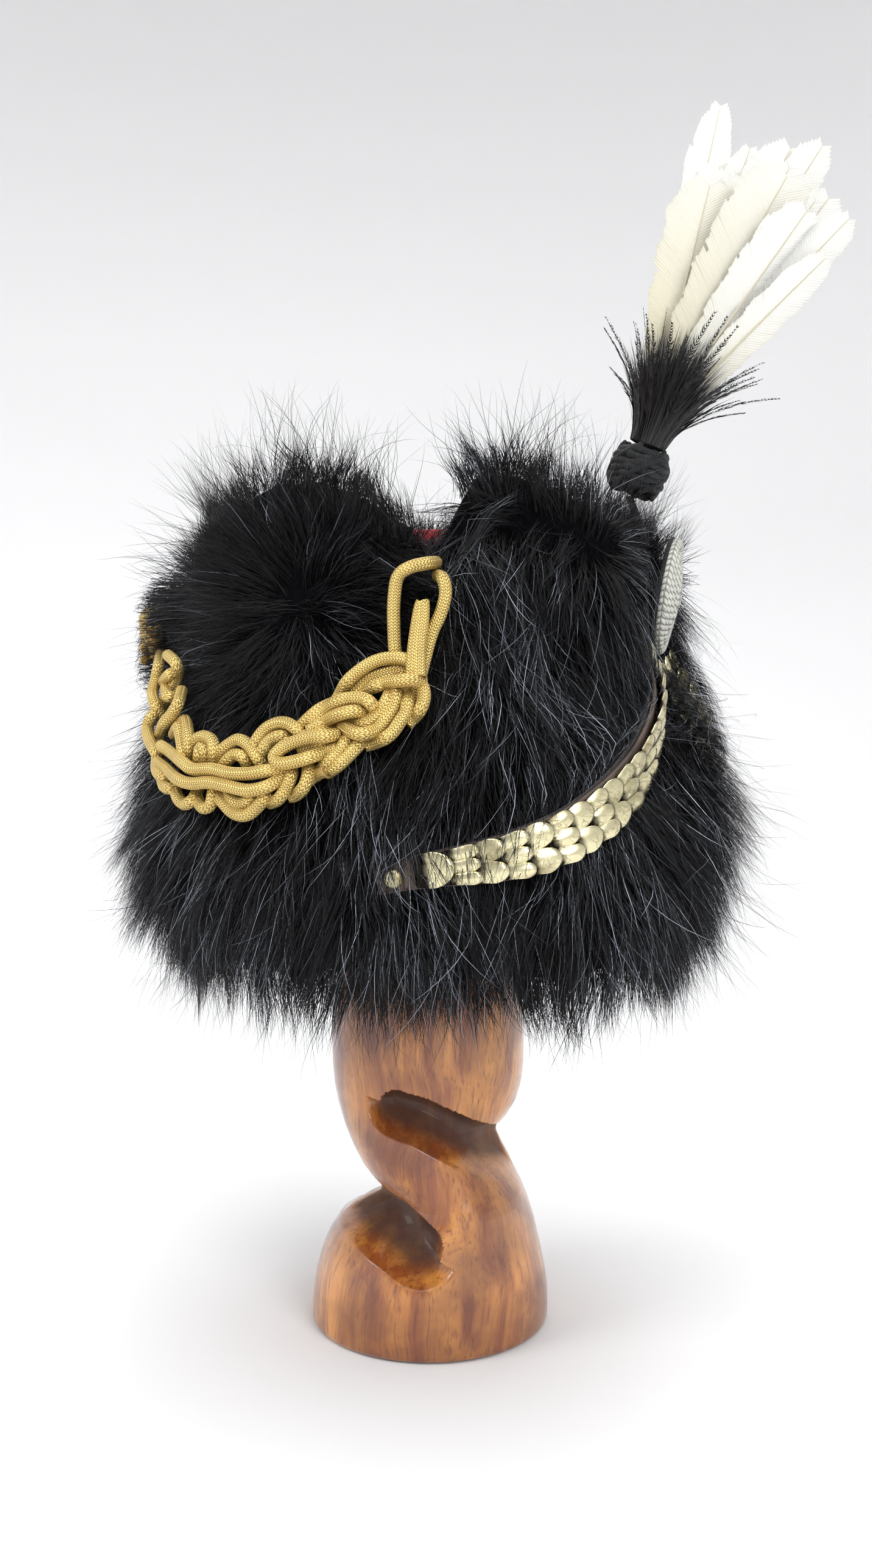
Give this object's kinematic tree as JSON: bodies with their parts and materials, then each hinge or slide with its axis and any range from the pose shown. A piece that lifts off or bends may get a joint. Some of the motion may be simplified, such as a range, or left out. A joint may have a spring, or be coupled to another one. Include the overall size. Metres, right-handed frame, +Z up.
{
  "type": "busby on a wooden stand",
  "caption": "Black fur busby with red cloth top, plaited gilt cord, brass scale chin strap, cord boss and white plume, set on a carved wooden stand.",
  "frame": {"origin": "middle of the stand's foot, on the floor", "axes": "+Z up, +X to the front of the busby, where the boss and plume are, -Y to the wearer's right"},
  "size_m": [0.3143, 0.2564, 0.5005],
  "materials": {
    "varnished_wood": "warm brown, varnished and glossy",
    "cap_shell": "black stiffened cloth, matt",
    "red_cloth": "red woollen cloth, matt",
    "black_fur": "long black fur with a soft sheen",
    "silver_cord": "silver-white twisted cord",
    "black_cord": "black twisted cord",
    "black_hackle": "black barbed feathers",
    "white_feather": "white feathers, soft edges",
    "gilt_cord": "gilt wire cord, satin",
    "strap_lining": "dark cloth lining",
    "tan_leather": "tan leather, worn",
    "brass": "polished brass, fine scratches"
  },
  "bodies": {
    "root": {"stand": "varnished_wood", "cap_body": "cap_shell", "top_cloth": "red_cloth", "fur_cover": "black_fur", "boss": "silver_cord", "plume_stem": "black_cord", "plume_olive": "black_cord", "plume_hackle": "black_hackle", "plume_feathers": "white_feather", "cord_plait_right": "gilt_cord", "cord_plait_left": "gilt_cord", "strap_lining": "strap_lining", "strap_leather": "tan_leather", "stud_right": "brass", "stud_left": "brass", "scale_right_01": "brass", "scale_right_02": "brass", "scale_right_03": "brass", "scale_right_04": "brass", "scale_right_05": "brass", "scale_right_06": "brass", "scale_right_07": "brass", "scale_right_08": "brass", "scale_right_09": "brass", "scale_right_10": "brass", "scale_right_11": "brass", "scale_right_12": "brass", "scale_right_13": "brass", "scale_right_14": "brass", "scale_right_15": "brass", "scale_right_16": "brass", "scale_right_17": "brass", "scale_right_18": "brass", "scale_left_01": "brass", "scale_left_02": "brass", "scale_left_03": "brass", "scale_left_04": "brass", "scale_left_05": "brass", "scale_left_06": "brass", "scale_left_07": "brass", "scale_left_08": "brass", "scale_left_09": "brass", "scale_left_10": "brass", "scale_left_11": "brass", "scale_left_12": "brass", "scale_left_13": "brass", "scale_left_14": "brass", "scale_left_15": "brass", "scale_left_16": "brass", "scale_left_17": "brass", "scale_left_18": "brass"}
  },
  "joints": []
}
